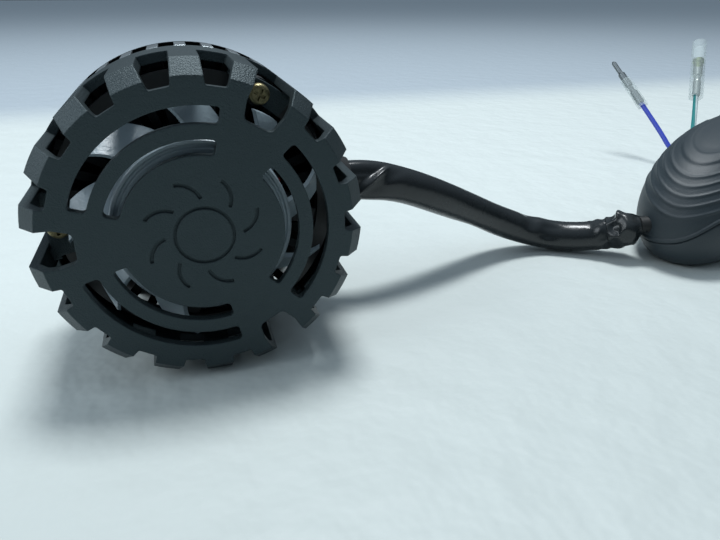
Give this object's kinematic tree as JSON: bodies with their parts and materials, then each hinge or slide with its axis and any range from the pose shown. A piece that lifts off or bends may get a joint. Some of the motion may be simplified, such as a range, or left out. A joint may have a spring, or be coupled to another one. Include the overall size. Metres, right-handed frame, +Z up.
{
  "type": "headlight bulb",
  "caption": "Fan-cooled LED headlight bulb with a notched round rear cover, a bayonet collar and a wired driver box.",
  "frame": {"origin": "centre of the lamp collar's seating plane, on the bulb's axis", "axes": "+Y along the bulb's axis towards the LED tip, -Y to the fan cover, +Z up; head and driver stand on z = -25 mm"},
  "size_m": [0.2077, 0.1147, 0.05],
  "materials": {
    "cover_plastic": "black moulded plastic with a fine spark-eroded texture",
    "screw_brass": "brass-plated steel pan heads",
    "fan_plastic": "grey moulded plastic, glossy hub",
    "steel": "bright steel",
    "magnet": "bonded ferrite",
    "frame_plastic": "black moulded plastic",
    "copper_winding": "enamelled copper wire",
    "board_green": "glass-fibre circuit board",
    "bearing_bronze": "sintered bronze",
    "lead_red": "red wire insulation",
    "lead_black": "black wire insulation",
    "sink_aluminium": "turned and milled aluminium",
    "black_rubber": "black rubber",
    "collar_steel": "stamped and turned steel, plated",
    "stem_aluminium": "turned aluminium",
    "stem_copper": "copper bar",
    "board_white": "white-coated LED board",
    "led_phosphor": "yellow phosphor",
    "shield_metal": "black-coated sheet metal",
    "sleeve_black": "semi-gloss black heat-shrink sleeve",
    "driver_plastic": "dark grey moulded plastic, fine matte texture",
    "component_black": "moulded component body",
    "component_can": "sleeved aluminium can",
    "ferrite_winding": "copper winding on a ferrite ring",
    "wire_blue": "blue wire insulation",
    "wire_green": "green wire insulation with a white stripe",
    "terminal_tin": "tinned brass terminal",
    "terminal_brass": "brass terminal",
    "clear_vinyl": "clear flexible vinyl"
  },
  "bodies": {
    "bulb": {"rear_cover": "cover_plastic", "cover_screws": "screw_brass", "fan_bearing": "bearing_bronze", "fan_frame": "frame_plastic", "stator_core": "steel", "stator_coils": "copper_winding", "fan_circuit_board": "board_green", "fan_lead_red": "lead_red", "fan_lead_black": "lead_black", "junction_board": "board_green", "heat_sink": "sink_aluminium", "cable_grommet": "black_rubber", "cable_jacket": "lead_black", "collar_o_ring": "black_rubber", "stem_base": "stem_aluminium", "stem_core": "stem_copper", "led_board_left": "board_white", "led_board_right": "board_white", "led_chips": "led_phosphor", "low_beam_shield": "shield_metal", "stem_tip_cap": "stem_aluminium", "driver_top_shell": "driver_plastic", "driver_bottom_shell": "driver_plastic", "driver_case_screws": "steel", "driver_circuit_board": "board_green", "driver_inductor": "ferrite_winding", "driver_capacitors": "component_can", "driver_transistors": "component_black", "driver_cable_boot": "black_rubber", "driver_wire_outlet": "black_rubber", "driver_input_leads": "lead_black", "bulb_cable": "sleeve_black", "cable_gather": "sleeve_black", "wire_blue": "wire_blue", "wire_green": "wire_green", "bullet_plug": "terminal_tin", "bullet_socket": "terminal_brass"},
    "rotor": {"fan_rotor": "fan_plastic", "rotor_yoke": "steel", "rotor_magnet": "magnet", "fan_shaft": "steel", "shaft_clip": "steel"},
    "collar": {"lamp_collar": "collar_steel"},
    "plug_sleeve": {"plug_sleeve": "clear_vinyl"},
    "socket_sleeve": {"socket_sleeve": "clear_vinyl"}
  },
  "joints": [
    {"name": "fan_spin", "type": "hinge", "parent": "bulb", "child": "rotor", "pos_m": [0, -0.0255, 0], "axis": [0, -1, 0], "continuous": true},
    {"name": "collar_twist", "type": "hinge", "parent": "bulb", "child": "collar", "pos_m": [0, 0, 0], "axis": [0, 1, 0], "range_deg": [0, 25]},
    {"name": "plug_sleeve_slide", "type": "slide", "parent": "bulb", "child": "plug_sleeve", "axis": [0.1909, -0.7304, -0.6557], "range_m": [0, 0.006]},
    {"name": "socket_sleeve_slide", "type": "slide", "parent": "bulb", "child": "socket_sleeve", "axis": [-0.3384, -0.5161, -0.7868], "range_m": [0, 0.006]}
  ]
}
